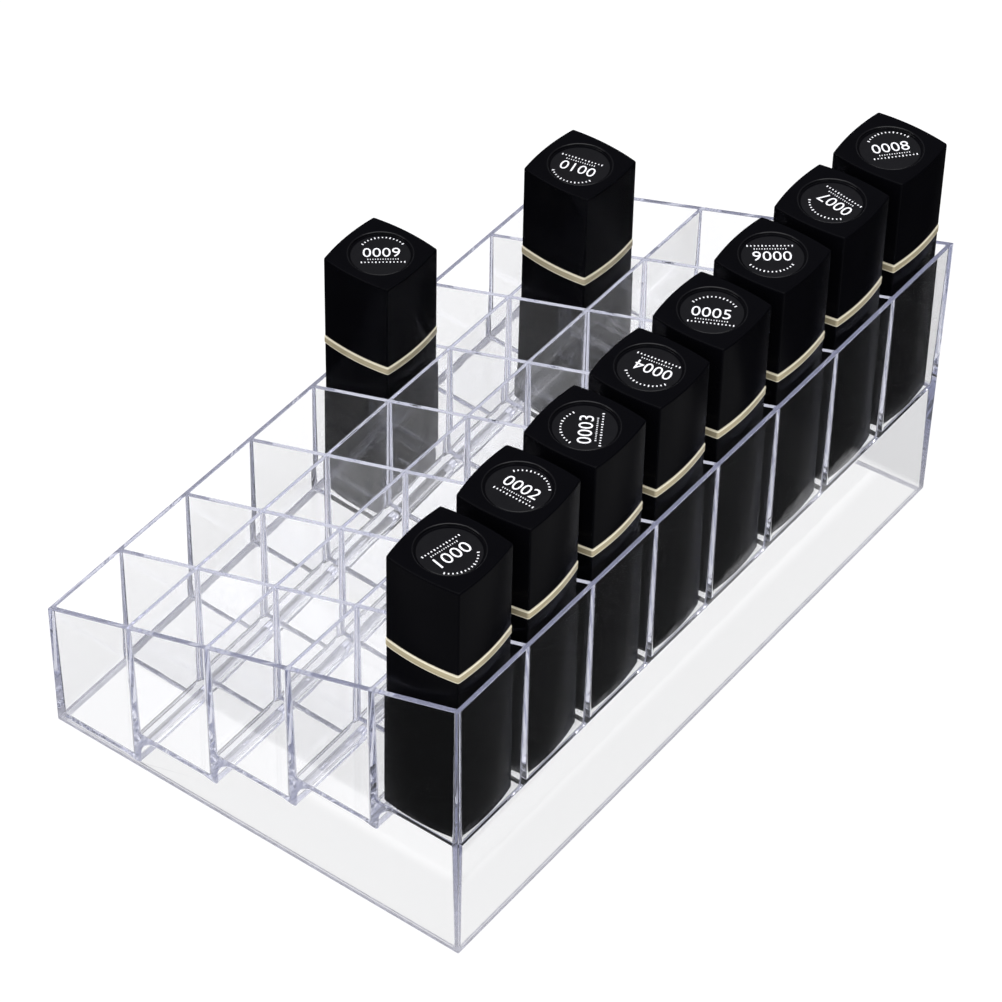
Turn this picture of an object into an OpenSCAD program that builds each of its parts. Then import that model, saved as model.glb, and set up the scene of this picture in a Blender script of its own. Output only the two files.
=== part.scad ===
// Stepped display organizer: forty clear square cells in five rising rows,
// with ten square twist-up lipsticks stored upside-down in some of the cells.
// Frame: +X along the eight cells of a row, +Y to the tall rear, +Z up.
// The origin is the centre of the outline, on the surface it stands on.

/* [Tray] */
// Number of cells in one row, along X
cells_x = 8; // [8:1:8]
// Number of rows, along Y
cells_y = 5; // [5:1:5]
// Distance from cell to cell along a row
pitch_x = 28; // [27:0.1:30]
// Distance from row to row
pitch_y = 27.4; // [26.6:0.1:30]
// Thickness of the four outer walls
wall_t = 2; // [1.6:0.1:2.4]
// How far the feet of the end walls stand outside the outermost cell lines
foot_out = 0.4; // [0.2:0.1:1]
// How far the end walls lean outwards for each millimetre of height
lean = 0.014; // [0:0.001:0.02]
// Thickness of the walls between cells
divider_t = 1.6; // [1.2:0.1:1.8]
// Thickness of the cell floors
floor_t = 2; // [1.6:0.1:2.4]
// Height of the tray at its low front edge
front_h = 43.5; // [40:0.5:48]
// Height of the tray at its tall rear edge
rear_h = 93; // [90:0.5:97]
// Height of the lowest row's floor above the table
first_floor_z = 3; // [2.6:0.1:5]
// How much each row's floor is higher than the one in front
row_rise = 9.6; // [9:0.1:10.2]

/* [Lipstick] */
// Width of the square cap and base, across the middle of two crowned sides
stick_w = 24.4; // [23.4:0.1:24.6]
// How much each side bulges
crown = 0.9; // [0.4:0.1:1.2]
// Distance from the axis to the rounded long edges
edge_out = 15.75; // [15:0.05:15.8]
// Length with the cap on
stick_l = 88; // [86:0.5:90]
// Length of the cap
cap_l = 56.65; // [54:0.05:56.65]
// Thickness of the cap's closed end
cap_end_t = 2.2; // [1.6:0.1:3]
// Side of the square space in the cap
cap_hollow_w = 18.6; // [18:0.1:19]
// Height of the metal band
band_h = 2.6; // [2:0.1:2.6]
// Distance from the band's lower edge to the end of the base
band_down = 31.3; // [31:0.1:33]
// How far the band stands proud of the cap on each side
band_proud = 0.2; // [0.1:0.05:0.4]
// Diameter of the collar's neck, inside the cap
neck_d = 17.4; // [16.8:0.1:17.6]
// Diameter of the collar's tube, inside the base
tube_d = 16; // [15.6:0.1:16.2]
// Diameter of the bore right through the collar
tube_bore_d = 14.4; // [14.2:0.1:14.6]
// Radial clearance of the turning and sliding fits
run_gap = 0.05; // [0.03:0.01:0.1]
// Diameter of the wax stick
wax_d = 11.4; // [10:0.1:12]
// Tilt of the wax stick's cut tip
tip_tilt = 38; // [20:1:45]
// Diameter of the round recess in the base's end
recess_d = 18.4; // [17:0.1:20]
// Depth of that recess
recess_deep = 0.8; // [0.4:0.1:1.2]

/* [Hidden] */
$fn = 64;

grid_x = pitch_x * cells_x / 2;
grid_y = pitch_y * cells_y / 2;
out_y = grid_y + wall_t / 2;
foot_x = grid_x + foot_out;
in_y = grid_y - wall_t / 2;
slope = (rear_h - front_h) / (2 * out_y);

// Height of the slanted rim at a distance y from the middle
function rim(y) = front_h + slope * (y + out_y);
// Top of the floor of row k, counted from the front
function floor_z(k) = first_floor_z + row_rise * k;
// Front and rear faces of the space between the walls of row k
function row_front(k) = k == 0 ? -in_y : -grid_y + k * pitch_y + divider_t / 2;
function row_rear(k) = k == cells_y - 1 ? in_y : -grid_y + (k + 1) * pitch_y - divider_t / 2;

// Where each lipstick stands: column from the +X end, row from the front,
// a shift within its cell, and how far it is turned from square
SEATS = [
    [0, 4, 0.5, 0.0, 0.8],
    [1, 4, 0.2, 0.0, 2.8],
    [2, 4, 0.0, -0.1, 1.1],
    [3, 4, 0.0, 0.0, 0.7],
    [4, 4, -0.1, 0.0, 0.5],
    [5, 4, -0.1, 0.0, 0.3],
    [6, 4, -0.2, 0.0, 1.1],
    [7, 4, -0.5, 0.1, -0.1],
    [4, 0, -0.1, -0.1, 0],
    [6, 1, 0.2, 0.0, -1.6]
];
function seat_x(n) = (3.5 - SEATS[n - 1][0]) * pitch_x + SEATS[n - 1][2];
function seat_y(n) = (SEATS[n - 1][1] - 2) * pitch_y + SEATS[n - 1][3];
function seat_z(n) = floor_z(SEATS[n - 1][1]);

band_z = stick_l - band_down;
base_z = band_z + band_h + 0.05;
neck_z = band_z - 14.4;
tube_top = stick_l - 5;
bore_top = stick_l - 4;
cup_low = neck_z + 20;
cup_high = cup_low + 20;
cup_d = tube_bore_d - 2 * run_gap;
cup_bore_d = wax_d + 0.1;
wax_low = neck_z + 1.5;
wax_high = cup_low + 8;
peg_z = cup_high - 2;
peg_d = 2;
slot_w = 2.3;

clear = [0.90, 0.91, 0.97, 0.35];
black = [0.05, 0.05, 0.07];
gold = [0.84, 0.78, 0.55];

// A wall that runs along X: its outline is drawn in the Y-Z plane
module wall_x(x0, x1, pts) {
    translate([x0, 0, 0]) rotate([90, 0, 90]) linear_extrude(x1 - x0) polygon(pts);
}

// A prism along Y between the leaning faces of the two end walls, or within one of them
module lean_prism(x0, x1) {
    rotate([90, 0, 0]) linear_extrude(4 * out_y, center = true)
        polygon([[x0, 0], [x1, 0],
                 [x1 + sign(x1) * 100 * lean, 100], [x0 + sign(x0) * 100 * lean, 100]]);
}
// A wall along X that ends at the leaning faces, x_half from the middle at the table
module leaning_ends(x_half, pts) {
    intersection() {
        wall_x(-x_half - 5, x_half + 5, pts);
        lean_prism(-x_half, x_half);
    }
}

// A square bar with crowned sides and rounded long edges
module crowned_bar(grow, z0, z1) {
    c = stick_w / 2 - crown;
    r = (c * c + crown * crown) / (2 * crown);
    intersection() {
        translate([stick_w / 2 - r, 0, z0]) cylinder(r = r + grow, h = z1 - z0, $fn = 360);
        translate([r - stick_w / 2, 0, z0]) cylinder(r = r + grow, h = z1 - z0, $fn = 360);
        translate([0, stick_w / 2 - r, z0]) cylinder(r = r + grow, h = z1 - z0, $fn = 360);
        translate([0, r - stick_w / 2, z0]) cylinder(r = r + grow, h = z1 - z0, $fn = 360);
        translate([0, 0, z0]) cylinder(r = edge_out + grow, h = z1 - z0, $fn = 180);
    }
}

// Corner points of an upright square with rounded edges
function round_square(w, r) = [
    for (q = [0:3]) for (s = [0:3])
        let (a = q * 90 + s * 30,
             c = w / 2 - r,
             sx = (q == 0 || q == 3) ? 1 : -1,
             sy = (q < 2) ? 1 : -1)
        [sx * c + r * cos(a), sy * c + r * sin(a)]
];
module bar(w, r, z0, z1) {
    translate([0, 0, z0]) linear_extrude(z1 - z0) polygon(round_square(w, r));
}
// Puts a lipstick's piece in its cell
module in_cell(n) {
    translate([seat_x(n), seat_y(n), seat_z(n)]) rotate([0, 0, SEATS[n - 1][4]]) children();
}

module front_wall() {
    color(clear) leaning_ends(foot_x, [
        [-out_y, 0], [-in_y, 0], [-in_y, rim(-in_y)], [-out_y, rim(-out_y)]]);
}
module rear_wall() {
    color(clear) leaning_ends(foot_x, [
        [in_y, 0], [out_y, 0], [out_y, rim(out_y)], [in_y, rim(in_y)]]);
}
// The end walls stand between the front wall and the rear wall
module end_wall(side) {
    color(clear) intersection() {
        wall_x(side * foot_x - 6, side * foot_x + 6, [
            [-in_y, 0], [in_y, 0], [in_y, rim(in_y)], [-in_y, rim(-in_y)]]);
        lean_prism(side * (foot_x - wall_t), side * foot_x);
    }
}
// A wall between two rows. Its foot is the riser of the step, so it starts
// at the underside of the lower floor.
module long_divider(k) {
    y0 = -grid_y + k * pitch_y - divider_t / 2;
    y1 = y0 + divider_t;
    z0 = floor_z(k - 1) - floor_t;
    color(clear) leaning_ends(foot_x - wall_t, [[y0, z0], [y1, z0], [y1, rim(y1)], [y0, rim(y0)]]);
}
// The webs between the cells of each row, seven to a row
module cross_dividers() {
    color(clear)
    for (k = [0:cells_y - 1]) for (i = [1:cells_x - 1]) {
        y0 = row_front(k);
        y1 = row_rear(k);
        wall_x(-grid_x + i * pitch_x - divider_t / 2, -grid_x + i * pitch_x + divider_t / 2,
            [[y0, floor_z(k)], [y1, floor_z(k)], [y1, rim(y1)], [y0, rim(y0)]]);
    }
}
// The floor of each row, from end wall to end wall
module cell_floors() {
    color(clear)
    for (k = [0:cells_y - 1])
        leaning_ends(foot_x - wall_t, [
            [row_front(k), floor_z(k) - floor_t], [row_rear(k), floor_z(k) - floor_t],
            [row_rear(k), floor_z(k)], [row_front(k), floor_z(k)]]);
}

// The cap stands in the cell on its closed end, with its mouth up
module lipstick_cap(n) {
    color(black) in_cell(n) difference() {
        crowned_bar(0, 0, cap_l);
        bar(cap_hollow_w, 2, cap_end_t, cap_l + 1);
    }
}
// The metal band, with the neck that the cap grips and the tube that the base turns on
module lipstick_collar(n) {
    color(gold) in_cell(n) difference() {
        union() {
            crowned_bar(band_proud, band_z, band_z + band_h);
            translate([0, 0, neck_z]) cylinder(d = neck_d, h = band_z - neck_z + 1);
            translate([0, 0, band_z + 1]) cylinder(d = tube_d, h = tube_top - band_z - 1);
        }
        translate([0, 0, neck_z - 1]) cylinder(d = tube_bore_d, h = tube_top - neck_z + 2);
        // two straight slots that keep the cup from turning
        translate([-tube_d, -slot_w / 2, peg_z - 20 - slot_w / 2])
            cube([2 * tube_d, slot_w, 20 + slot_w]);
    }
}
// The grip, with the bore that turns on the collar's tube and the round recess in its end
module lipstick_base(n) {
    color(black) in_cell(n) difference() {
        crowned_bar(0, base_z, stick_l);
        translate([0, 0, base_z - 1]) cylinder(d = tube_d + 2 * run_gap, h = bore_top - base_z + 1);
        translate([0, 0, stick_l - recess_deep]) cylinder(d = recess_d, h = 1 + recess_deep);
    }
}
// The carrier that slides in the collar, with the two pegs that ride in its slots
module lipstick_cup(n) {
    color("white") in_cell(n) {
        difference() {
            union() {
                translate([0, 0, cup_low]) cylinder(d = cup_d, h = cup_high - cup_low);
                translate([-tube_d / 2 + 0.05, 0, peg_z]) rotate([0, 90, 0])
                    cylinder(d = peg_d, h = tube_d - 0.1, $fn = 24);
            }
            translate([0, 0, cup_low - 1]) cylinder(d = cup_bore_d, h = wax_high - cup_low + 1);
        }
    }
}
// The wax stick, with its tip cut at a slant
module lipstick_bullet(n) {
    color("firebrick") in_cell(n) difference() {
        translate([0, 0, wax_low]) cylinder(d = wax_d, h = wax_high - wax_low);
        translate([-wax_d / 2, 0, wax_low]) rotate([0, -tip_tilt, 0])
            translate([-20, -20, -40]) cube([60, 40, 40]);
    }
}

front_wall();
rear_wall();
end_wall(-1);  // left_end_wall
end_wall(1);  // right_end_wall
cross_dividers();
long_divider(1);  // long_divider_1
long_divider(2);  // long_divider_2
long_divider(3);  // long_divider_3
long_divider(4);  // long_divider_4
cell_floors();
lipstick_cap(1);  // lipstick_01_cap
lipstick_collar(1);  // lipstick_01_collar
lipstick_base(1);  // lipstick_01_base
lipstick_cup(1);  // lipstick_01_cup
lipstick_bullet(1);  // lipstick_01_bullet
lipstick_cap(2);  // lipstick_02_cap
lipstick_collar(2);  // lipstick_02_collar
lipstick_base(2);  // lipstick_02_base
lipstick_cup(2);  // lipstick_02_cup
lipstick_bullet(2);  // lipstick_02_bullet
lipstick_cap(3);  // lipstick_03_cap
lipstick_collar(3);  // lipstick_03_collar
lipstick_base(3);  // lipstick_03_base
lipstick_cup(3);  // lipstick_03_cup
lipstick_bullet(3);  // lipstick_03_bullet
lipstick_cap(4);  // lipstick_04_cap
lipstick_collar(4);  // lipstick_04_collar
lipstick_base(4);  // lipstick_04_base
lipstick_cup(4);  // lipstick_04_cup
lipstick_bullet(4);  // lipstick_04_bullet
lipstick_cap(5);  // lipstick_05_cap
lipstick_collar(5);  // lipstick_05_collar
lipstick_base(5);  // lipstick_05_base
lipstick_cup(5);  // lipstick_05_cup
lipstick_bullet(5);  // lipstick_05_bullet
lipstick_cap(6);  // lipstick_06_cap
lipstick_collar(6);  // lipstick_06_collar
lipstick_base(6);  // lipstick_06_base
lipstick_cup(6);  // lipstick_06_cup
lipstick_bullet(6);  // lipstick_06_bullet
lipstick_cap(7);  // lipstick_07_cap
lipstick_collar(7);  // lipstick_07_collar
lipstick_base(7);  // lipstick_07_base
lipstick_cup(7);  // lipstick_07_cup
lipstick_bullet(7);  // lipstick_07_bullet
lipstick_cap(8);  // lipstick_08_cap
lipstick_collar(8);  // lipstick_08_collar
lipstick_base(8);  // lipstick_08_base
lipstick_cup(8);  // lipstick_08_cup
lipstick_bullet(8);  // lipstick_08_bullet
lipstick_cap(9);  // lipstick_09_cap
lipstick_collar(9);  // lipstick_09_collar
lipstick_base(9);  // lipstick_09_base
lipstick_cup(9);  // lipstick_09_cup
lipstick_bullet(9);  // lipstick_09_bullet
lipstick_cap(10);  // lipstick_10_cap
lipstick_collar(10);  // lipstick_10_collar
lipstick_base(10);  // lipstick_10_base
lipstick_cup(10);  // lipstick_10_cup
lipstick_bullet(10);  // lipstick_10_bullet
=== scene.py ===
import math

import bmesh
import bpy
from mathutils import Matrix, Vector


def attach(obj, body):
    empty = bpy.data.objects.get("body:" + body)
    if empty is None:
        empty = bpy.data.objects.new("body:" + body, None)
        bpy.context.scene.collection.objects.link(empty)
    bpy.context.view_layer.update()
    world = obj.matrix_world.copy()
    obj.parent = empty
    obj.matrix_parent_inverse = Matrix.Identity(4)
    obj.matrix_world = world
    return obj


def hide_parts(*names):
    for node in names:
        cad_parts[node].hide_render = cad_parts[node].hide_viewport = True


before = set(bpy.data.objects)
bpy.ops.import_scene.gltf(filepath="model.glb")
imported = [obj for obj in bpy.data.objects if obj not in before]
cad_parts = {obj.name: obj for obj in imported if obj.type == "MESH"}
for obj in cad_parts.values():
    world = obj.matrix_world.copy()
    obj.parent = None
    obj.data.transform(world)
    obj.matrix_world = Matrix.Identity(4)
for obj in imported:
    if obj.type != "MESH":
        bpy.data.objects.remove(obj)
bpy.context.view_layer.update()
scene = bpy.context.scene

# ---------------------------------------------------------------- dimensions, mm
PX, PY = 28.0, 27.4              # cell pitch
GX, GY = 112.0, 68.5             # outermost grid lines
OX, OY = 113.0, 69.5             # outer faces, before the end walls are leaned
FOOT_X, LEAN = 112.4, 0.014      # where the end walls' outer faces really are: at the table, and for each mm up
FRONT_H, REAR_H = 43.5, 93.0
SLOPE = (REAR_H - FRONT_H) / (2 * OY)
SEATS = [
    (0, 4, 0.5, 0.0, 0.8), (1, 4, 0.2, 0.0, 2.8), (2, 4, 0.0, -0.1, 1.1), (3, 4, 0.0, 0.0, 0.7),
    (4, 4, -0.1, 0.0, 0.5), (5, 4, -0.1, 0.0, 0.3), (6, 4, -0.2, 0.0, 1.1), (7, 4, -0.5, 0.1, -0.1),
    (4, 0, -0.1, -0.1, 0.0), (6, 1, 0.2, 0.0, -1.6),
]


def rim(y):
    return FRONT_H + SLOPE * (y + OY)


def floor_z(k):
    return 3.0 + 9.6 * k


# ---------------------------------------------------------------- camera
cam_data = bpy.data.cameras.new("camera")
cam = bpy.data.objects.new("camera", cam_data)
scene.collection.objects.link(cam)
cam_data.sensor_width = 36.0
cam_data.sensor_fit = "HORIZONTAL"
cam_data.lens = 157.629
cam_data.clip_start, cam_data.clip_end = 0.05, 50.0
right = Vector((-0.59997276, 0.79986751, 0.0156411))
up = Vector((-0.54731411, -0.42463773, 0.72120043))
back = Vector((0.58350659, 0.42414002, 0.69254985))
m = Matrix((right, up, back)).transposed().to_4x4()
m.translation = Vector((0.71246471, 0.51631762, 0.88353258))
cam.matrix_world = m
scene.camera = cam


# ---------------------------------------------------------------- mesh helpers
def weighted(ob):
    """The object with normals weighted by face area, so that flat faces beside small roundings shade flat."""
    mod = ob.modifiers.new("weights", "WEIGHTED_NORMAL")
    mod.mode = "FACE_AREA"
    mod.weight = 100
    mod.keep_sharp = True
    me = bpy.data.meshes.new_from_object(ob.evaluated_get(bpy.context.evaluated_depsgraph_get()))
    ob.modifiers.remove(mod)
    old, name = ob.data, ob.data.name
    ob.data = me
    bpy.data.meshes.remove(old)
    me.name = name
    return ob


def build(name, verts, faces, angle=32.0, fix=True):
    """A mesh object from points in mm, smooth except across edges sharper than angle."""
    me = bpy.data.meshes.new(name)
    bm = bmesh.new()
    vs = [bm.verts.new(Vector(v) * 0.001) for v in verts]
    for f in faces:
        try:
            bm.faces.new([vs[i] for i in f])
        except ValueError:
            pass
    if fix:
        bmesh.ops.recalc_face_normals(bm, faces=bm.faces)
    bm.to_mesh(me)
    bm.free()
    for p in me.polygons:
        p.use_smooth = True
    me.set_sharp_from_angle(angle=math.radians(angle))
    ob = bpy.data.objects.new(name, me)
    scene.collection.objects.link(ob)
    return weighted(ob)


def loft(rings, close_start=True, close_end=True, loop=False):
    """Vertices and faces of rings with one point count. loop joins the last ring to the first."""
    n = len(rings[0])
    verts = [p for r in rings for p in r]
    faces = []
    count = len(rings)
    for a in range(count if loop else count - 1):
        b = (a + 1) % count
        for i in range(n):
            j = (i + 1) % n
            faces.append((a * n + i, a * n + j, b * n + j, b * n + i))
    if not loop:
        if close_start:
            faces.append(tuple(range(n))[::-1])
        if close_end:
            faces.append(tuple(range((count - 1) * n, count * n)))
    return verts, faces


# ---------------------------------------------------------------- the clear tray
CORNER = 6                        # segments in each rounded corner
DRAFT = 0.0085                    # how much the pockets open towards the rim
HALF_FOOT = 1.05                  # half a divider's thickness at its foot
FOOT_OUT = 2.0                    # outer wall's thickness at a cell floor
EDGE = 0.24                       # rounding of the rim
FOOT_R = 0.16                     # rounding of the foot
OUT_R = 0.4                       # radius of the tray's upright edges


def outer_draft(z, y):
    return 0.0012 * (rim(y) - z)


def tray():
    verts, faces, shared = [], [], {}

    def new(p):
        verts.append(p)
        return len(verts) - 1

    def shared_vertex(p):
        key = tuple(round(c, 3) for c in p)
        if key not in shared:
            shared[key] = new(p)
        return shared[key]

    xo, yo = OX - EDGE - 0.008, OY - EDGE - 0.008
    for k in range(5):
        zf = floor_z(k)
        for i in range(8):
            gx0, gx1 = -GX + i * PX, -GX + (i + 1) * PX
            gy0, gy1 = -GY + k * PY, -GY + (k + 1) * PY
            w, e, s, n = i == 0, i == 7, k == 0, k == 4
            fx0 = -OX + FOOT_OUT if w else gx0 + HALF_FOOT
            fx1 = OX - FOOT_OUT if e else gx1 - HALF_FOOT
            fy0 = -OY + FOOT_OUT if s else gy0 + HALF_FOOT
            fy1 = OY - FOOT_OUT if n else gy1 - HALF_FOOT

            def point(q, j, z, grow, r):
                """Point j of corner q of the pocket's outline at height z."""
                d = DRAFT * (z - zf) + grow
                x0, x1, y0, y1 = fx0 - d, fx1 + d, fy0 - d, fy1 + d
                a = math.radians(90 * q + 90 * j / CORNER)
                cx = x1 - r if q in (0, 3) else x0 + r
                cy = y1 - r if q in (0, 1) else y0 + r
                return cx + r * math.cos(a), cy + r * math.sin(a)

            rings = []
            # the flat of the rim, out to the lines that cells share
            ring = []
            gX0, gX1 = (-xo if w else gx0), (xo if e else gx1)
            gY0, gY1 = (-yo if s else gy0), (yo if n else gy1)
            for q in range(4):
                X = gX1 if q in (0, 3) else gX0
                Y = gY1 if q in (0, 1) else gY0
                ux = -1 if q in (0, 3) else 1
                uy = -1 if q in (0, 1) else 1
                outer = (e if q in (0, 3) else w) and (n if q in (0, 1) else s)
                for j in range(CORNER + 1):
                    if outer:
                        r = OUT_R - EDGE
                        a = math.radians(90 * q + 90 * j / CORNER)
                        x, y = X + ux * r + r * math.cos(a), Y + uy * r + r * math.sin(a)
                    else:
                        t = 2.0 * j / CORNER
                        c0 = 2.6
                        if q % 2 == 0:
                            x, y = (X, Y + uy * c0 * (1 - t)) if t <= 1 else (X + ux * c0 * (t - 1), Y)
                        else:
                            x, y = (X + ux * c0 * (1 - t), Y) if t <= 1 else (X, Y + uy * c0 * (t - 1))
                    ring.append(shared_vertex((x, y, rim(y))))
            rings.append(ring)
            # the rounded rim, then the drafted wall
            for t in (0, 30, 60, 90):
                a = math.radians(t)
                ring = []
                for q in range(4):
                    for j in range(CORNER + 1):
                        z = rim((fy0 + fy1) / 2)
                        for _ in range(4):
                            x, y = point(q, j, z, EDGE * (1 - math.sin(a)), 0.5)
                            z = rim(y) - EDGE * (1 - math.cos(a))
                        ring.append(new((x, y, z)))
                rings.append(ring)
            top = rings[-1]
            RF = 0.65
            for share in (0.5,):
                ring = []
                for c, v in enumerate(top):
                    q, j = divmod(c, CORNER + 1)
                    z = verts[v][2] * share + (zf + RF) * (1 - share)
                    x, y = point(q, j, z, 0, 0.5 * share + 0.9 * (1 - share))
                    ring.append(new((x, y, z)))
                rings.append(ring)
            for t in (0, 15, 30, 45, 60, 75, 90):
                a = math.radians(t)
                ring = []
                for q in range(4):
                    for j in range(CORNER + 1):
                        z = zf + RF * (1 - math.sin(a))
                        x, y = point(q, j, z, -RF * (1 - math.cos(a)), 0.9 - (RF - 0.1) * (1 - math.cos(a)))
                        ring.append(new((x, y, z)))
                rings.append(ring)
            for a, b in zip(rings, rings[1:]):
                for c in range(len(a)):
                    d = (c + 1) % len(a)
                    faces.append((a[c], b[c], b[d], a[d]))
            faces.append(tuple(rings[-1]))

    # outer skin, from the rim's outer edge down to the foot
    count = {}
    for f in faces:
        for a, b in zip(f, f[1:] + f[:1]):
            count[frozenset((a, b))] = count.get(frozenset((a, b)), 0) + 1
    nxt = {}
    for f in faces:
        for a, b in zip(f, f[1:] + f[:1]):
            if count[frozenset((a, b))] == 1:
                nxt[a] = b
    start = next(iter(nxt))
    loop, v = [start], nxt[start]
    while v != start:
        loop.append(v)
        v = nxt[v]

    def outward(x, y):
        cx = max(-(xo - OUT_R + EDGE), min(xo - OUT_R + EDGE, x))
        cy = max(-(yo - OUT_R + EDGE), min(yo - OUT_R + EDGE, y))
        d = Vector((x - cx, y - cy))
        return d.normalized()

    def skin_ring(off, z_of):
        ring = []
        for v in loop:
            x, y, z = verts[v]
            d = outward(x, y)
            px, py = x + d.x * off(x, y), y + d.y * off(x, y)
            ring.append(new((px, py, z_of(py))))
        return ring

    rings = [loop]
    for t in (30, 60, 90):
        a = math.radians(t)
        rings.append(skin_ring(lambda x, y: EDGE * math.sin(a), lambda y: rim(y) - EDGE * (1 - math.cos(a))))
    for t in (0, 22.5, 45, 67.5, 90):
        a = math.radians(t)
        rings.append(skin_ring(lambda x, y: EDGE - FOOT_R * (1 - math.cos(a)) - outer_draft(FOOT_R, y), lambda y: FOOT_R * (1 - math.sin(a))))
    for a, b in zip(rings, rings[1:]):
        for c in range(len(a)):
            d = (c + 1) % len(a)
            faces.append((a[c], a[d], b[d], b[c]))
    foot = rings[-1]

    # the stepped hollow underneath: one outline in Y and Z, swept along X
    under = [floor_z(k) - 1.4 for k in range(5)]
    taper = 0.027
    yf, yr = -OY + 0.05 + 1.7, OY - 0.11 - 1.65
    levels = (FOOT_R, 0.5, 0.62, 0.74, 0.86, 0.98)

    def bead(z):
        """How much thicker the wall is close to its foot."""
        t = max(0.0, min(1.0, (z - 0.5) / 0.48))
        return 0.8 * (1 - t * t * (3 - 2 * t))

    line = [(yf + bead(z), z) for z in levels] + [(yf, under[0] - 0.5)]
    line += [(yf + 0.5 - 0.5 * math.cos(a), under[0] - 0.5 + 0.5 * math.sin(a)) for a in (math.radians(t) for t in (30, 60, 90))]
    for k in range(1, 5):
        g, u0, u1 = -GY + k * PY, under[k - 1], under[k]
        # a low round nose under the wall's foot
        for t in range(0, 9):
            s = t / 8
            line.append((g - 4.2 + 3.9 * s, u0 - 0.62 * (s * s * (3 - 2 * s))))
        for t in (20, 40, 60, 80, 100, 120, 140):
            a = math.radians(t)
            line.append((g - 0.1 + 1.35 * math.sin(a * 0.64), u0 - 0.62 + 1.2 * (1 - math.cos(a * 0.64))))
        # then a wide fillet up to the next floor
        R = 6.2
        for t in range(0, 91, 10):
            a = math.radians(t)
            line.append((g + 1.32 + R * (1 - math.cos(a)), u1 - R * (1 - math.sin(a))))
    line += [(yr - 1.04 - 0.7 + 0.7 * math.sin(a), under[4] - 0.7 + 0.7 * math.cos(a)) for a in (math.radians(t) for t in range(0, 91, 15))]
    line += [(yr - taper * z - bead(z), z) for z in reversed(levels)]

    def offset(pts, d):
        out = []
        for c, (y, z) in enumerate(pts):
            a = Vector(pts[max(c - 1, 0)])
            b = Vector(pts[min(c + 1, len(pts) - 1)])
            t = (b - a).normalized()
            nrm = Vector((t.y, -t.x))
            yy, zz = y + nrm.x * d, z + nrm.y * d
            # close to the foot the outline only moves sideways, so that the end faces stay simple polygons
            if c < len(levels):
                yy, zz = y + d, z
            elif c >= len(pts) - len(levels):
                yy, zz = y - d, z
            out.append((yy, zz))
        return out

    X1, RHO = OX - 0.06 - 1.7, 0.25
    # from the end wall inwards: full offset at the wall, none one radius in
    turns = [math.radians(t) for t in (0, 30, 60, 90)]
    stations = [(-X1 + RHO * (1 - math.cos(a)), RHO * (1 - math.sin(a))) for a in turns]
    stations = stations + [(-x, d) for x, d in reversed(stations)]
    outwards = [(-math.cos(a), math.sin(a)) for a in turns] + [(math.cos(a), math.sin(a)) for a in reversed(turns)]
    sweep = []
    for x, d in stations:
        ring = []
        for y, z in offset(line, d):
            ring.append(new((x - math.copysign(taper * z + bead(z), x), y, z)))
        sweep.append(ring)
    for a, b in zip(sweep, sweep[1:]):
        for c in range(len(a) - 1):
            faces.append((a[c], a[c + 1], b[c + 1], b[c]))
    nb = len(levels) - 1
    for ring, turn in ((sweep[0], 1), (sweep[-1], -1)):
        faces.append(tuple(ring[nb:len(ring) - nb])[::turn])
        for c in range(nb):
            faces.append((ring[c], ring[c + 1], ring[-c - 2], ring[-c - 1])[::turn])
    mouth = [r[0] for r in sweep] + [r[-1] for r in reversed(sweep)]
    away = [(nx, -ny) for nx, ny in outwards] + [(nx, ny) for nx, ny in reversed(outwards)]
    rings = [mouth]
    for t in (22.5, 45, 67.5, 90):
        a = math.radians(t)
        d = FOOT_R * (1 - math.cos(a))
        rings.append([new((verts[v][0] + nx * d, verts[v][1] + ny * d, FOOT_R * (1 - math.sin(a)))) for v, (nx, ny) in zip(mouth, away)])
    for a, b in zip(rings, rings[1:]):
        for c in range(len(a)):
            d = (c + 1) % len(a)
            faces.append((a[c], a[d], b[d], b[c]))
    mouth = rings[-1]

    # lean the end walls outwards: every face that this stretches lies along X, so all stay flat
    for c, (x, y, z) in enumerate(verts):
        share = max(0.0, min(1.0, (abs(x) - 98.0) / 12.0))
        verts[c] = (x + math.copysign(1.0, x) * (FOOT_X + LEAN * z - OX) * share, y, z)

    me = bpy.data.meshes.new("tray_clear")
    bm = bmesh.new()
    vs = [bm.verts.new(Vector(v) * 0.001) for v in verts]
    bm.verts.ensure_lookup_table()
    for f in faces:
        bm.faces.new([vs[c] for c in f])
    edges = []
    for ring in (foot, mouth):
        for a, b in zip(ring, ring[1:] + ring[:1]):
            edge = bm.edges.get((vs[a], vs[b])) or bm.edges.new((vs[a], vs[b]))
            edges.append(edge)
    bmesh.ops.triangle_fill(bm, edges=edges, use_beauty=True, normal=Vector((0, 0, -1)))
    bmesh.ops.recalc_face_normals(bm, faces=bm.faces)
    open_edges = sum(1 for ed in bm.edges if len(ed.link_faces) != 2)
    print("tray: open or doubled edges", open_edges, "volume cm3", round(bm.calc_volume(signed=True) * 1e6, 2))
    bm.to_mesh(me)
    bm.free()
    for p in me.polygons:
        p.use_smooth = True
    me.set_sharp_from_angle(angle=math.radians(33))
    ob = bpy.data.objects.new("tray_clear", me)
    scene.collection.objects.link(ob)
    return weighted(ob)


# ---------------------------------------------------------------- lipstick outlines
SIDE = 10
WIDE = 24.4                       # across two crowned sides


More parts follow.
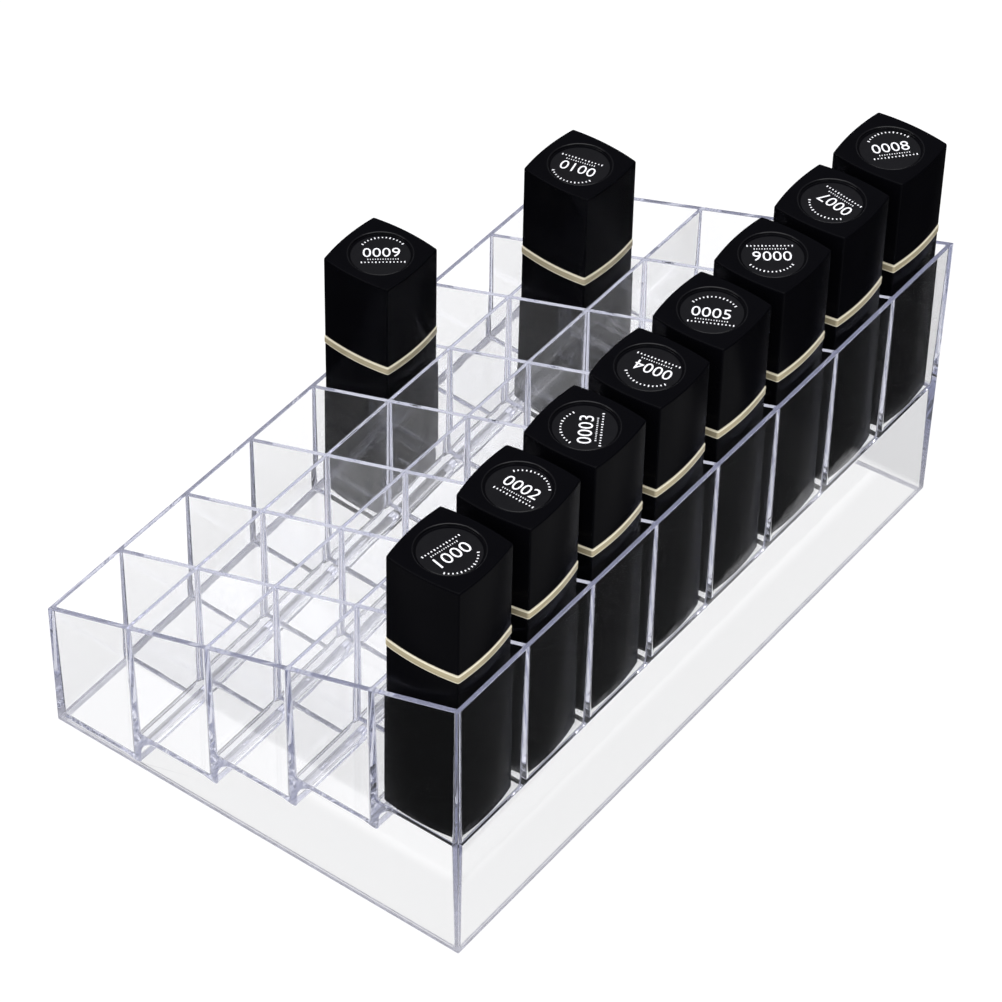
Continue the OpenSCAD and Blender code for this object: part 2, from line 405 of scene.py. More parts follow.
def square_ring(w, r, z, crown=0.9):
    """An upright square outline with rounded edges and slightly crowned sides, w across the crowns."""
    h = w / 2 - crown
    pts = []
    for q in range(4):
        c = h - r
        sx = 1 if q in (0, 3) else -1
        sy = 1 if q in (0, 1) else -1
        for j in range(5):
            a = math.radians(90 * q + 22.5 * j)
            pts.append([sx * c + r * math.cos(a), sy * c + r * math.sin(a)])
        a0 = math.radians(90 * (q + 1))
        p = Vector((sx * c + r * math.cos(a0), sy * c + r * math.sin(a0)))
        nq = (q + 1) % 4
        sx2 = 1 if nq in (0, 3) else -1
        sy2 = 1 if nq in (0, 1) else -1
        p2 = Vector((sx2 * c + r * math.cos(a0), sy2 * c + r * math.sin(a0)))
        for j in range(1, SIDE):
            t = j / SIDE
            bulge = crown * 4 * t * (1 - t)
            d = p.lerp(p2, t)
            pts.append([d.x + bulge * math.cos(a0), d.y + bulge * math.sin(a0)])
    return [(x, y, z) for x, y in pts]


_angles = [math.atan2(p[1], p[0]) for p in square_ring(WIDE, 0.55, 0)]


def circle_ring(r, z):
    """A circle whose points lie at the same angles as the square outline's."""
    return [(r * math.cos(a), r * math.sin(a), z) for a in _angles]


def arc(n, r):
    return [(r * (1 - math.cos(math.radians(90 * t / n))), r * (1 - math.sin(math.radians(90 * t / n)))) for t in range(n + 1)]


def cap_mesh():
    rings = []
    for t in (0, 22, 45, 67, 90):
        a = math.radians(t)
        rings.append(square_ring(WIDE - 1.6 * (1 - math.sin(a)), 0.6, 0.8 - 0.8 * math.cos(a)))
    for z in (8, 20, 36, 50, 56.3):
        rings.append(square_ring(WIDE, 0.55, z))
    rings.append(square_ring(WIDE - 0.14, 0.55, 56.52))
    rings.append(square_ring(WIDE - 0.44, 0.55, 56.64))
    rings.append(square_ring(18.9, 1.9, 56.64, 0.05))
    rings.append(square_ring(18.6, 1.9, 56.4, 0.02))
    rings.append(square_ring(18.6, 1.9, 3.2, 0.02))
    rings.append(square_ring(18.0, 1.7, 2.5, 0.02))
    rings.append(square_ring(16.0, 1.5, 2.2, 0.02))
    return build("cap_shape", *loft(rings), angle=40)


def base_mesh():
    rings = [circle_ring(8.05, 84.0), circle_ring(8.05, 59.7), circle_ring(8.3, 59.38)]
    rings.append(square_ring(WIDE - 0.6, 0.55, 59.38))
    rings.append(square_ring(WIDE - 0.16, 0.55, 59.46))
    rings.append(square_ring(WIDE, 0.55, 59.68))
    for z in (64, 72, 80, 87.3):
        rings.append(square_ring(WIDE, 0.55, z))
    for t in (18, 36, 54, 72, 90):
        a = math.radians(t)
        rings.append(square_ring(WIDE - 1.1 * (1 - math.cos(a)), 0.6, 87.45 + 0.55 * math.sin(a)))
    rings.append(square_ring(WIDE - 1.7, 0.7, 88.0, 0.85))
    for r, z in ((9.38, 88.0), (9.24, 87.95), (9.12, 87.82), (9.06, 87.35), (8.96, 87.22), (8.7, 87.16), (5.0, 87.16)):
        rings.append(circle_ring(r, z))
    return build("base_shape", *loft(rings), angle=35)


def collar_mesh():
    zb = 56.7
    outline = []
    for z in (83.0, 81.45, 59.4, 59.3):
        outline.append(circle_ring(8.0, z))
    for w, r, z in ((24.2, 0.7, 2.6), (24.66, 0.72, 2.52), (24.8, 0.75, 2.3), (24.8, 0.75, 0.3), (24.66, 0.72, 0.08), (24.2, 0.7, 0.0)):
        outline.append(square_ring(w, r, zb + z))
    for r, z in ((8.9, 56.7), (8.7, 56.5), (8.7, 50.5), (8.55, 50.3), (8.55, 49.7), (8.7, 49.5), (8.7, 42.9), (8.5, 42.45),
                 (8.0, 42.3), (7.45, 42.4), (7.2, 42.7), (7.2, 59.4), (7.2, 81.45), (7.2, 83.0)):
        outline.append(circle_ring(r, z))
    n = len(outline[0])
    count = len(outline)
    verts = [p for r in outline for p in r]
    # the two slots take the segments on each side of the +X and -X directions
    slot = [i for i in range(n) if abs(math.sin(_angles[i]) + math.sin(_angles[(i + 1) % n])) < 0.3]
    faces = []
    for a in range(count):
        b = (a + 1) % count
        for i in range(n):
            if i in slot and a in (1, count - 3):
                continue
            j = (i + 1) % n
            faces.append((a * n + i, a * n + j, b * n + j, b * n + i))
    for i in slot:
        j = (i + 1) % n
        for o, c in ((1, count - 2), (2, count - 3)):
            faces.append((o * n + i, o * n + j, c * n + j, c * n + i))
        if (i - 1) % n not in slot:
            faces.append((1 * n + i, 2 * n + i, (count - 3) * n + i, (count - 2) * n + i))
        if j not in slot:
            faces.append((1 * n + j, 2 * n + j, (count - 3) * n + j, (count - 2) * n + j))
    print("slot half width mm", [round(8 * math.sin(_angles[i]), 2) for i in slot])
    return build("collar_shape", verts, faces, angle=35)


def lathe(profile, n=48):
    return [[(r * math.cos(2 * math.pi * i / n), r * math.sin(2 * math.pi * i / n), z) for i in range(n)] for r, z in profile]


def cup_mesh():
    prof = [(3.0, 70.0), (5.6, 70.0), (5.75, 69.8), (5.75, 62.5), (5.95, 62.12), (6.4, 62.0), (6.95, 62.1), (7.12, 62.4),
            (7.12, 63.4), (6.98, 63.6), (6.98, 64.2), (7.12, 64.4), (7.12, 81.6), (6.9, 81.9), (6.5, 82.0), (3.0, 82.0)]
    verts, faces = loft(lathe(prof))
    for side in (-1, 1):
        base = len(verts)
        m = 16
        stations = [(6.6, 0.85), (7.75, 0.85), (7.92, 0.7)]
        for x, r in stations:
            for i in range(m):
                a = 2 * math.pi * i / m
                verts.append((side * x, r * math.cos(a), 80.0 + r * math.sin(a)))
        for s in range(len(stations) - 1):
            for i in range(m):
                j = (i + 1) % m
                faces.append((base + s * m + i, base + s * m + j, base + (s + 1) * m + j, base + (s + 1) * m + i))
        faces.append(tuple(base + i for i in range(m)))
        faces.append(tuple(base + (len(stations) - 1) * m + i for i in range(m)))
    return build("cup_shape", [(x, y, z + 0.3) for x, y, z in verts], faces, angle=35)


def bullet_mesh():
    n = 48
    R = 5.68
    t = math.tan(math.radians(38))

    def plane(x):
        return 43.5 + t * (x + 5.7)

    rings = []
    ring = lambda r, z: [(r * math.cos(2 * math.pi * i / n), r * math.sin(2 * math.pi * i / n), z) for i in range(n)]
    rings.append(ring(3.0, 69.95))
    rings.append(ring(5.5, 69.95))
    rings.append(ring(R, 69.7))
    rings.append(ring(R, 60.0))
    for back in (4.0, 1.4):
        rings.append([(R * math.cos(a), R * math.sin(a), min(60.0, plane(R * math.cos(a)) + back)) for a in (2 * math.pi * i / n for i in range(n))])
    # the rounded edge of the cut, then the flat of the cut, dished a little
    for d, h in ((0.0, 0.75), (0.12, 0.42), (0.35, 0.16), (0.75, 0.02), (1.6, 0.05), (3.2, 0.14), (4.8, 0.2)):
        r = R - d
        rings.append([(r * math.cos(a), r * math.sin(a), plane(r * math.cos(a)) + h) for a in (2 * math.pi * i / n for i in range(n))])
    rings = [[(x, y, z + 0.3) for x, y, z in r] for r in rings]
    return build("bullet_shape", *loft(rings), angle=50)


def disc_mesh():
    """The thin clear-coated disc that lies in the recess of the base's end."""
    prof = [(3.0, 87.17), (8.2, 87.17), (8.36, 87.19), (8.4, 87.23), (8.34, 87.27), (8.1, 87.29), (7.8, 87.28), (3.0, 87.28)]
    return build("disc_shape", *loft(lathe(prof, 64)), angle=50)


def number_mesh(text, name):
    """A plain number, an arc and two rows of dial ticks, printed on the disc."""
    curve = bpy.data.curves.new(name + "_curve", "FONT")
    curve.body = text
    curve.size = 5.0
    curve.align_x = "CENTER"
    curve.align_y = "CENTER"
    curve.extrude = 0.02
    curve.offset = -0.02
    curve.resolution_u = 3
    holder = bpy.data.objects.new(name + "_curve", curve)
    scene.collection.objects.link(holder)
    bpy.context.view_layer.update()
    me = bpy.data.meshes.new_from_object(holder.evaluated_get(bpy.context.evaluated_depsgraph_get()))
    bpy.data.objects.remove(holder)
    bpy.data.curves.remove(curve)
    bm = bmesh.new()
    bm.from_mesh(me)
    bmesh.ops.remove_doubles(bm, verts=bm.verts, dist=0.001)
    xs = [v.co.x for v in bm.verts]
    ys = [v.co.y for v in bm.verts]
    cx, cy = (min(xs) + max(xs)) / 2, (min(ys) + max(ys)) / 2
    high = max(ys) - min(ys)
    k, wide = 3.75 / high, 10.4 / (max(xs) - min(xs))
    for v in bm.verts:
        v.co = Vector(((v.co.x - cx) * wide - 0.39, (v.co.y - cy) * k + 0.54, 87.3 + v.co.z))

    def bar(x, y, w, h, turn):
        r = Matrix.Rotation(turn, 3, "Z")
        box = []
        for z in (87.275, 87.31):
            for dx, dy in ((-w, -h), (w, -h), (w, h), (-w, h)):
                p = r @ Vector((dx / 2, dy / 2, 0))
                box.append(bm.verts.new((x + p.x, y + p.y, z)))
        for f in ((3, 2, 1, 0), (4, 5, 6, 7), (0, 1, 5, 4), (1, 2, 6, 5), (2, 3, 7, 6), (3, 0, 4, 7)):
            bm.faces.new([box[c] for c in f])

    for t in range(13):
        a = math.radians(36 + 9.0 * t)
        bar(6.9 * math.cos(a), 6.9 * math.sin(a), 0.33, 0.48 if t % 4 else 0.7, a - math.pi / 2)
    for t in range(13):
        bar(-4.2 + 0.7 * t, -2.35, 0.24, 0.36 if t % 4 else 0.5, 0)
    for t in range(13):
        bar(-6.0 + 1.0 * t, -3.6, 0.33, 0.44 if t % 4 else 0.65, 0)
    bmesh.ops.recalc_face_normals(bm, faces=bm.faces)
    bmesh.ops.scale(bm, vec=Vector((0.001,) * 3), verts=bm.verts)
    bm.to_mesh(me)
    bm.free()
    me.name = name
    return me


# ---------------------------------------------------------------- materials
def material(name):
    mat = bpy.data.materials.new(name)
    mat.use_nodes = True
    nt = mat.node_tree
    for nd in list(nt.nodes):
        nt.nodes.remove(nd)
    out = nt.nodes.new("ShaderNodeOutputMaterial")
    bsdf = nt.nodes.new("ShaderNodeBsdfPrincipled")
    nt.links.new(bsdf.outputs["BSDF"], out.inputs["Surface"])
    return mat, nt, bsdf, out


def noise(nt, scale, detail=4.0, rough=0.55, vector=None, stretch=None):
    coord = nt.nodes.new("ShaderNodeTexCoord")
    src = coord.outputs["Object"]
    if stretch:
        mp = nt.nodes.new("ShaderNodeMapping")
        mp.inputs["Scale"].default_value = stretch
        nt.links.new(src, mp.inputs["Vector"])
        src = mp.outputs["Vector"]
    n = nt.nodes.new("ShaderNodeTexNoise")
    n.inputs["Scale"].default_value = scale
    n.inputs["Detail"].default_value = detail
    n.inputs["Roughness"].default_value = rough
    nt.links.new(src, n.inputs["Vector"])
    return n


def ramp(nt, src, lo, hi, a=0.35, b=0.65):
    r = nt.nodes.new("ShaderNodeMapRange")
    r.inputs["From Min"].default_value = a
    r.inputs["From Max"].default_value = b
    r.inputs["To Min"].default_value = lo
    r.inputs["To Max"].default_value = hi
    nt.links.new(src, r.inputs["Value"])
    return r.outputs["Result"]


def mix_colour(nt, fac, c1, c2):
    mx = nt.nodes.new("ShaderNodeMix")
    mx.data_type = "RGBA"
    mx.inputs[6].default_value = (*c1, 1)
    mx.inputs[7].default_value = (*c2, 1)
    nt.links.new(fac, mx.inputs[0])
    return mx.outputs[2]


def bump(nt, bsdf, height, strength, distance):
    b = nt.nodes.new("ShaderNodeBump")
    b.inputs["Strength"].default_value = strength
    b.inputs["Distance"].default_value = distance
    nt.links.new(height, b.inputs["Height"])
    nt.links.new(b.outputs["Normal"], bsdf.inputs["Normal"])
    return b


def maths(tree, operation, a, b):
    node = tree.nodes.new("ShaderNodeMath")
    node.operation = operation
    for socket, value in zip(node.inputs, (a, b)):
        if isinstance(value, (int, float)):
            socket.default_value = value
        else:
            tree.links.new(value, socket)
    return node.outputs["Value"]


def clear_material():
    mat, nt, bsdf, out = material("clear_plastic")
    bsdf.inputs["Base Color"].default_value = (1.0, 1.0, 1.0, 1)
    bsdf.inputs["IOR"].default_value = 1.55
    bsdf.inputs["Transmission Weight"].default_value = 1.0
    wavy = noise(nt, 60.0, 2.0, 0.5)
    fine = noise(nt, 900.0, 3.0, 0.6)
    nt.links.new(ramp(nt, fine.outputs["Fac"], 0.0, 0.02), bsdf.inputs["Roughness"])
    bump(nt, bsdf, wavy.outputs["Fac"], 0.3, 0.0001)
    absorb = nt.nodes.new("ShaderNodeVolumeAbsorption")
    absorb.inputs["Color"].default_value = (0.393, 0.414, 0.60, 1)
    absorb.inputs["Density"].default_value = 16.0
    # painted glow: an emission inside the clear plastic stands in for the faint haze that light trapped in the thick
    # edges takes on
    painted_haze_glow = nt.nodes.new("ShaderNodeEmission")
    painted_haze_glow.inputs["Color"].default_value = (0.94, 0.97, 1.0, 1)
    painted_haze_glow.inputs["Strength"].default_value = 1.6
    both = nt.nodes.new("ShaderNodeAddShader")
    nt.links.new(absorb.outputs["Volume"], both.inputs[0])
    nt.links.new(painted_haze_glow.outputs["Emission"], both.inputs[1])
    nt.links.new(both.outputs["Shader"], out.inputs["Volume"])
    return mat


def foot_material():
    """The tray's lower edge, dull and pale, with a painted glow so that it reads pale from outside and from within the
    wall.
    """
    mat, nt, bsdf, out = material("foot_painted_glow")
    cloud = noise(nt, 260.0, 4.0, 0.6)
    scratch = noise(nt, 1500.0, 3.0, 0.7)
    nt.links.new(mix_colour(nt, cloud.outputs["Fac"], (0.50, 0.50, 0.58), (0.62, 0.62, 0.70)), bsdf.inputs["Base Color"])
    nt.links.new(ramp(nt, scratch.outputs["Fac"], 0.35, 0.6), bsdf.inputs["Roughness"])
    # painted glow: the lower edge emits a faint light, stronger or weaker with the cloud noise
    bsdf.inputs["Emission Color"].default_value = (0.92, 0.92, 1.0, 1)
    nt.links.new(ramp(nt, cloud.outputs["Fac"], 0.20, 0.30), bsdf.inputs["Emission Strength"])
    return mat


def black_material():
    mat, nt, bsdf, out = material("black_satin")
    cloud = noise(nt, 120.0, 5.0, 0.6)
    fine = noise(nt, 2600.0, 3.0, 0.7)
    drawn = noise(nt, 500.0, 3.0, 0.6, stretch=(1.0, 1.0, 0.06))
    nt.links.new(mix_colour(nt, cloud.outputs["Fac"], (0.0012, 0.0012, 0.0018), (0.0022, 0.0022, 0.0032)), bsdf.inputs["Base Color"])
    nt.links.new(ramp(nt, drawn.outputs["Fac"], 0.20, 0.24), bsdf.inputs["Roughness"])
    bsdf.inputs["Specular IOR Level"].default_value = 0.035
    bump(nt, bsdf, fine.outputs["Fac"], 0.12, 0.00002)
    return mat


def disc_material():
    mat, nt, bsdf, out = material("disc_gloss_black")
    cloud = noise(nt, 500.0, 4.0, 0.6)
    nt.links.new(mix_colour(nt, cloud.outputs["Fac"], (0.0015, 0.0015, 0.0022), (0.003, 0.003, 0.0042)), bsdf.inputs["Base Color"])
    nt.links.new(ramp(nt, cloud.outputs["Fac"], 0.14, 0.26), bsdf.inputs["Roughness"])
    bsdf.inputs["Specular IOR Level"].default_value = 0.3
    crease = noise(nt, 260.0, 2.0, 0.5, stretch=(1.0, 0.35, 1.0))
    bump(nt, bsdf, crease.outputs["Fac"], 0.5, 0.0004)
    return mat


def gold_material():
    mat, nt, bsdf, out = material("pale_gold")
    drawn = noise(nt, 900.0, 4.0, 0.6, stretch=(0.08, 0.08, 1.0))
    cloud = noise(nt, 160.0, 3.0, 0.5)
    middle = mix_colour(nt, cloud.outputs["Fac"], (0.64, 0.55, 0.34), (0.76, 0.67, 0.44))
    # painted highlight: the band's two edges, 0.4 mm wide, are painted paler and given a faint glow
    coord = nt.nodes.new("ShaderNodeTexCoord")
    split = nt.nodes.new("ShaderNodeSeparateXYZ")
    nt.links.new(coord.outputs["Object"], split.inputs["Vector"])
    away = maths(nt, "ABSOLUTE", maths(nt, "SUBTRACT", split.outputs["Z"], 0.0580), 0.0)
    painted_edge_glint = ramp(nt, away, 0.0, 1.0, 0.00078, 0.00098)
    tone = nt.nodes.new("ShaderNodeMix")
    tone.data_type = "RGBA"
    nt.links.new(painted_edge_glint, tone.inputs[0])
    nt.links.new(middle, tone.inputs[6])
    tone.inputs[7].default_value = (1.0, 0.94, 0.74, 1)
    nt.links.new(tone.outputs[2], bsdf.inputs["Base Color"])
    # painted glint: the faint glow on the band's two edges
    bsdf.inputs["Emission Color"].default_value = (1.0, 0.92, 0.68, 1)
    nt.links.new(maths(nt, "MULTIPLY", painted_edge_glint, 0.22), bsdf.inputs["Emission Strength"])
    bsdf.inputs["Metallic"].default_value = 0.5
    nt.links.new(ramp(nt, drawn.outputs["Fac"], 0.16, 0.28), bsdf.inputs["Roughness"])
    bump(nt, bsdf, drawn.outputs["Fac"], 0.15, 0.00003)
    return mat


def print_material():
    mat, nt, bsdf, out = material("white_print")
    n = noise(nt, 3000.0, 3.0, 0.6)
    nt.links.new(mix_colour(nt, n.outputs["Fac"], (0.82, 0.82, 0.83), (0.95, 0.95, 0.95)), bsdf.inputs["Base Color"])
    bsdf.inputs["Roughness"].default_value = 0.55
    return mat


def cup_material():
    mat, nt, bsdf, out = material("ivory_plastic")
    n = noise(nt, 300.0, 4.0, 0.55)
    nt.links.new(mix_colour(nt, n.outputs["Fac"], (0.66, 0.63, 0.57), (0.76, 0.74, 0.69)), bsdf.inputs["Base Color"])
    nt.links.new(ramp(nt, n.outputs["Fac"], 0.28, 0.42), bsdf.inputs["Roughness"])
    bump(nt, bsdf, n.outputs["Fac"], 0.1, 0.00005)
    return mat


def wax_material():
    mat, nt, bsdf, out = material("red_wax")
    n = noise(nt, 420.0, 5.0, 0.6)
    drawn = noise(nt, 700.0, 3.0, 0.6, stretch=(1.0, 1.0, 0.05))
    nt.links.new(mix_colour(nt, n.outputs["Fac"], (0.36, 0.012, 0.025), (0.47, 0.028, 0.04)), bsdf.inputs["Base Color"])
    nt.links.new(ramp(nt, drawn.outputs["Fac"], 0.26, 0.42), bsdf.inputs["Roughness"])
    bsdf.inputs["Subsurface Weight"].default_value = 0.08
    bsdf.inputs["Subsurface Radius"].default_value = (1.0, 0.25, 0.15)
    bsdf.inputs["Subsurface Scale"].default_value = 0.001
    bump(nt, bsdf, drawn.outputs["Fac"], 0.2, 0.00005)
    return mat


CLEAR = clear_material()
FOOT = foot_material()
BLACK = black_material()
DISC = disc_material()
GOLD = gold_material()
PRINT = print_material()
IVORY = cup_material()
WAX = wax_material()

# ---------------------------------------------------------------- pieces
TRAY_NODES = ["front_wall", "rear_wall", "left_end_wall", "right_end_wall", "cross_dividers",
              "long_divider_1", "long_divider_2", "long_divider_3", "long_divider_4", "cell_floors"]
shell = tray()
shell.data.materials.append(CLEAR)
shell.data.materials.append(FOOT)
for p in shell.data.polygons:
    if all(shell.data.vertices[v].co.z < 0.000165 for v in p.vertices):
        p.material_index = 1
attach(shell, "tray")
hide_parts(*TRAY_NODES)

shapes = {}
for part, maker, mat in (("cap", cap_mesh, BLACK), ("base", base_mesh, BLACK), ("collar", collar_mesh, GOLD),
                         ("cup", cup_mesh, IVORY), ("bullet", bullet_mesh, WAX), ("disc", disc_mesh, DISC)):
    ob = maker()
    ob.data.materials.append(mat)
    if part == "base":
        ob.data.materials.append(DISC)
        for p in ob.data.polygons:
            if p.center.z > 0.0871 and 0.0089 < p.center.xy.length < 0.0095:
                p.material_index = 1
    shapes[part] = ob.data
    bpy.data.objects.remove(ob)

RIDES = {"cap": "cap", "base": "base", "collar": "collar", "cup": "bullet", "bullet": "bullet"}
LABEL_TURN = [348, 87, 210, 278, 117, 308, 261, 139, 129, 284]
LABEL_SHIFT = [(0.62, 0.65), (-0.28, 0.85), (-0.06, 0.78), (-0.78, 0.45), (0.67, 0.6), (-0.28, -0.86), (-0.53, 0.72), (-0.89, 0.15), (-0.89, 0.14), (0.81, -0.39)]
for c, (col, row, dx, dy, yaw) in enumerate(SEATS):
    stem = "lipstick_%02d" % (c + 1)
    place = Matrix.Translation(Vector(((3.5 - col) * PX + dx, (row - 2) * PY + dy, floor_z(row))) * 0.001) @ Matrix.Rotation(math.radians(yaw), 4, "Z")
    for part in ("cap", "collar", "base", "cup", "bullet"):
        ob = bpy.data.objects.new(stem + "_" + part + "_fine", shapes[part])
        scene.collection.objects.link(ob)
        ob.matrix_world = place
        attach(ob, stem + "_" + RIDES[part])
        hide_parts(stem + "_" + part)
    disc = bpy.data.objects.new(stem + "_end_disc", shapes["disc"])
    scene.collection.objects.link(disc)
    disc.matrix_world = place
    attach(disc, stem + "_base")
    me = number_mesh("%04d" % (c + 1), stem + "_number")
    me.materials.clear()
    me.materials.append(PRINT)
    num = bpy.data.objects.new(stem + "_number", me)
    scene.collection.objects.link(num)
    off = Matrix.Translation(Vector((LABEL_SHIFT[c][0], LABEL_SHIFT[c][1], 0.0)) * 0.001)
    num.matrix_world = place @ off @ Matrix.Rotation(math.radians(LABEL_TURN[c]), 4, "Z")
    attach(num, stem + "_base")

# ---------------------------------------------------------------- stage and light
def mirrored_once(tree):
    """1 for light that one surface mirrored, 0 for light seen directly or through the clear plastic."""
    path = tree.nodes.new("ShaderNodeLightPath")
    same = tree.nodes.new("ShaderNodeMath")
    same.operation = "COMPARE"
    same.inputs[1].default_value = 1.0
    same.inputs[2].default_value = 0.5
    tree.links.new(path.outputs["Glossy Depth"], same.inputs[0])
    return same.outputs["Value"]


bm = bmesh.new()
bmesh.ops.create_circle(bm, cap_ends=True, radius=14.0, segments=96)
me = bpy.data.meshes.new("floor")
bm.to_mesh(me)
bm.free()
ground = bpy.data.objects.new("floor", me)
scene.collection.objects.link(ground)
ground.location = (0, 0, -0.0002)
gm, nt, bsdf, out = material("floor_paper")
bsdf.inputs["Base Color"].default_value = (0.10, 0.10, 0.10, 1)
bsdf.inputs["Roughness"].default_value = 0.9
bsdf.inputs["Specular IOR Level"].default_value = 0.0
glow = nt.nodes.new("ShaderNodeEmission")
# painted light: paper seen through the clear plastic is made brighter the more faces the light has passed
seen = nt.nodes.new("ShaderNodeLightPath").outputs["Transmission Depth"]
deep = maths(nt, "MAXIMUM", 0.0, maths(nt, "SUBTRACT", seen, 4.0))
inside = maths(nt, "ADD", maths(nt, "ADD", 0.74, maths(nt, "MULTIPLY", seen, 0.06)), maths(nt, "MULTIPLY", deep, 0.06))
inside = maths(nt, "MINIMUM", 1.6, inside)
through = maths(nt, "GREATER_THAN", seen, 0.5)
both = nt.nodes.new("ShaderNodeAddShader")
nt.links.new(bsdf.outputs["BSDF"], both.inputs[0])
nt.links.new(glow.outputs["Emission"], both.inputs[1])
# painted reflection: light mirrored once sees the paper painted into black and grey cards beside and under the tray, so
# that blacks stay black
where = nt.nodes.new("ShaderNodeNewGeometry")
split = nt.nodes.new("ShaderNodeSeparateXYZ")
nt.links.new(where.outputs["Position"], split.inputs["Vector"])
px, py = split.outputs["X"], split.outputs["Y"]


def step(value, near, far):
    """0 before near, 1 after far, smooth between."""
    soft = nt.nodes.new("ShaderNodeMapRange")
    soft.interpolation_type = "SMOOTHSTEP"
    soft.inputs["From Min"].default_value = near
    soft.inputs["From Max"].default_value = far
    nt.links.new(value, soft.inputs["Value"])
    return soft.outputs["Result"]


def patch(x0, x1, y0, y1):
    sides = [step(px, x0 - 0.003, x0), step(px, x1 + 0.003, x1), step(py, y0 - 0.003, y0), step(py, y1 + 0.003, y1)]
    return maths(nt, "MULTIPLY", maths(nt, "MULTIPLY", sides[0], sides[1]), maths(nt, "MULTIPLY", sides[2], sides[3]))


# painted light: where the skirt's inner face mirrors the painted card, the paper straight behind the skirt is painted
# brighter to make up for it
behind = maths(nt, "MULTIPLY", maths(nt, "LESS_THAN", seen, 2.5), maths(nt, "MULTIPLY", step(px, 0.092, 0.087), step(py, 0.054, 0.049)))
inside = maths(nt, "ADD", inside, maths(nt, "MULTIPLY", behind, 0.13))
# painted light: the paper past the front wall is made 15% brighter where it is seen through the plastic
inside = maths(nt, "MULTIPLY", inside, maths(nt, "ADD", 1.0, maths(nt, "MULTIPLY", maths(nt, "LESS_THAN", py, -0.0697), 0.15)))
# painted shade: the paper is painted half as bright for light mirrored twice between the walls, which would veil the
# blacks
twice = nt.nodes.new("ShaderNodeMath")
twice.operation = "COMPARE"
nt.links.new(nt.nodes.new("ShaderNodeLightPath").outputs["Glossy Depth"], twice.inputs[0])
twice.inputs[1].default_value = 2.0
twice.inputs[2].default_value = 0.5
inside = maths(nt, "MULTIPLY", inside, maths(nt, "SUBTRACT", 1.0, maths(nt, "MULTIPLY", twice.outputs["Value"], 0.5)))
nt.links.new(maths(nt, "ADD", maths(nt, "MULTIPLY", through, inside), maths(nt, "MULTIPLY", maths(nt, "SUBTRACT", 1.0, through), 0.94)),
             glow.inputs["Strength"])
beside = maths(nt, "MAXIMUM", maths(nt, "GREATER_THAN", px, 0.113), maths(nt, "GREATER_THAN", py, 0.0697))
slant = maths(nt, "SUBTRACT", py, maths(nt, "MULTIPLY", maths(nt, "SUBTRACT", 0.113, px), 0.0177))
inner = maths(nt, "MAXIMUM", step(px, 0.1365, 0.139), step(slant, 0.0866, 0.0884))
outer = maths(nt, "MAXIMUM", step(px, 0.1403, 0.1415), step(slant, 0.0890, 0.0904))
painted_card = maths(nt, "ADD", maths(nt, "MULTIPLY", through, inner), maths(nt, "MULTIPLY", maths(nt, "SUBTRACT", 1.0, through), outer))
beyond = maths(nt, "MAXIMUM", step(px, 0.185, 0.195), step(py, 0.128, 0.136))
level = maths(nt, "ADD", 0.30, maths(nt, "MULTIPLY", beside, 0.58))
level = maths(nt, "MULTIPLY", level, maths(nt, "SUBTRACT", 1.0, maths(nt, "MULTIPLY", painted_card, 0.99)))
level = maths(nt, "ADD", level, maths(nt, "MULTIPLY", beyond, 0.34))
# painted reflection: darker patches of paper under and beside the tray, seen only in light mirrored once
dark = maths(nt, "MAXIMUM", step(px, -0.111, -0.114), step(py, -0.068, -0.071))
for corners in ((-0.072, 0.002, -0.040, 0.004), (-0.046, 0.004, -0.080, -0.022), (0.002, 0.046, -0.080, -0.045),
                (-0.115, -0.068, -0.008, 0.027), (-0.105, -0.040, -0.008, 0.020)):
    dark = maths(nt, "MAXIMUM", dark, patch(*corners))
level = maths(nt, "MULTIPLY", level, maths(nt, "SUBTRACT", 1.0, maths(nt, "MULTIPLY", dark, 0.93)))
dim = nt.nodes.new("ShaderNodeEmission")
nt.links.new(level, dim.inputs["Strength"])
pick = nt.nodes.new("ShaderNodeMixShader")
nt.links.new(mirrored_once(nt), pick.inputs[0])
nt.links.new(both.outputs["Shader"], pick.inputs[1])
nt.links.new(dim.outputs["Emission"], pick.inputs[2])
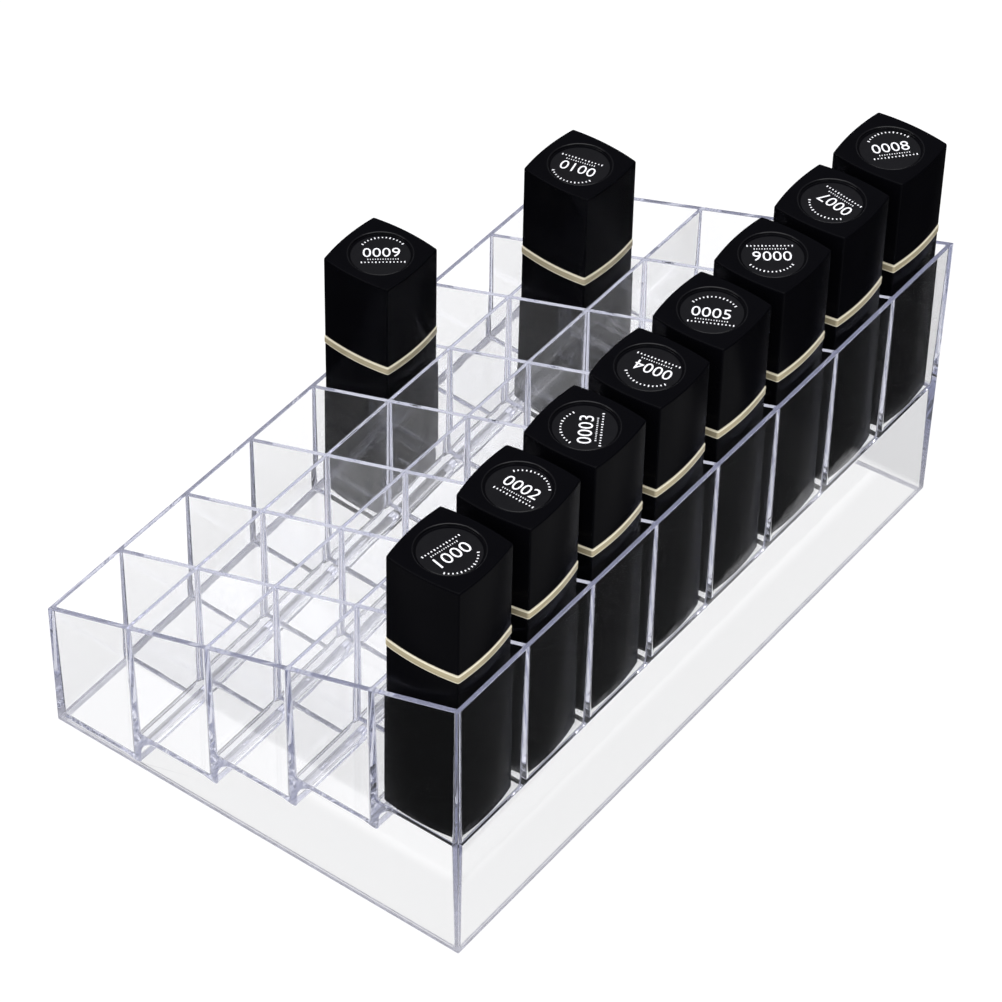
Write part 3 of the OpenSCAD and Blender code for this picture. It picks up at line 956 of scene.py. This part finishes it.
nt.links.new(pick.outputs["Shader"], out.inputs["Surface"])
me.materials.append(gm)

world = bpy.data.worlds.new("studio")
scene.world = world
world.use_nodes = True
wt = world.node_tree
bg = wt.nodes["Background"]
where = wt.nodes.new("ShaderNodeTexCoord")
split = wt.nodes.new("ShaderNodeSeparateXYZ")
wt.links.new(where.outputs["Generated"], split.inputs["Vector"])
rise = wt.nodes.new("ShaderNodeMapRange")
rise.inputs["From Min"].default_value = 0.0
rise.inputs["From Max"].default_value = 1.0
rise.inputs["To Min"].default_value = 0.10
rise.inputs["To Max"].default_value = 0.42
wt.links.new(split.outputs["Z"], rise.inputs["Value"])
pick = wt.nodes.new("ShaderNodeMix")
pick.data_type = "FLOAT"
pick.inputs[2].default_value = 0.90
# light that the steps' rounded feet throw upwards has passed many faces and sees the bright room
few = maths(wt, "LESS_THAN", wt.nodes.new("ShaderNodeLightPath").outputs["Transmission Depth"], 3.5)
wt.links.new(maths(wt, "MULTIPLY", mirrored_once(wt), few), pick.inputs[0])
wt.links.new(rise.outputs["Result"], pick.inputs[3])
wt.links.new(pick.outputs[0], bg.inputs["Strength"])
bg.inputs["Color"].default_value = (0.93, 0.93, 1.0, 1)


def area(name, place, target, size, power, colour=(1, 1, 1)):
    data = bpy.data.lights.new(name, "AREA")
    data.shape = "RECTANGLE"
    data.size, data.size_y = size
    data.energy = power
    data.color = colour
    ob = bpy.data.objects.new(name, data)
    scene.collection.objects.link(ob)
    ob.location = place
    ob.rotation_mode = "QUATERNION"
    ob.rotation_quaternion = (Vector(place) - Vector(target)).to_track_quat("Z", "Y")
    return ob


area("overhead", (0.3, 0.3, 2.2), (0, 0, 0), (2.4, 2.4), 36.0)
area("side", (1.6, -1.2, 1.3), (0, 0, 0.05), (1.0, 1.0), 10.0)

scene.view_settings.view_transform = "Standard"
scene.view_settings.look = "None"
scene.cycles.max_bounces = 40
scene.cycles.transmission_bounces = 40
scene.cycles.glossy_bounces = 40
scene.cycles.transparent_max_bounces = 64
scene.cycles.sample_clamp_indirect = 4.0
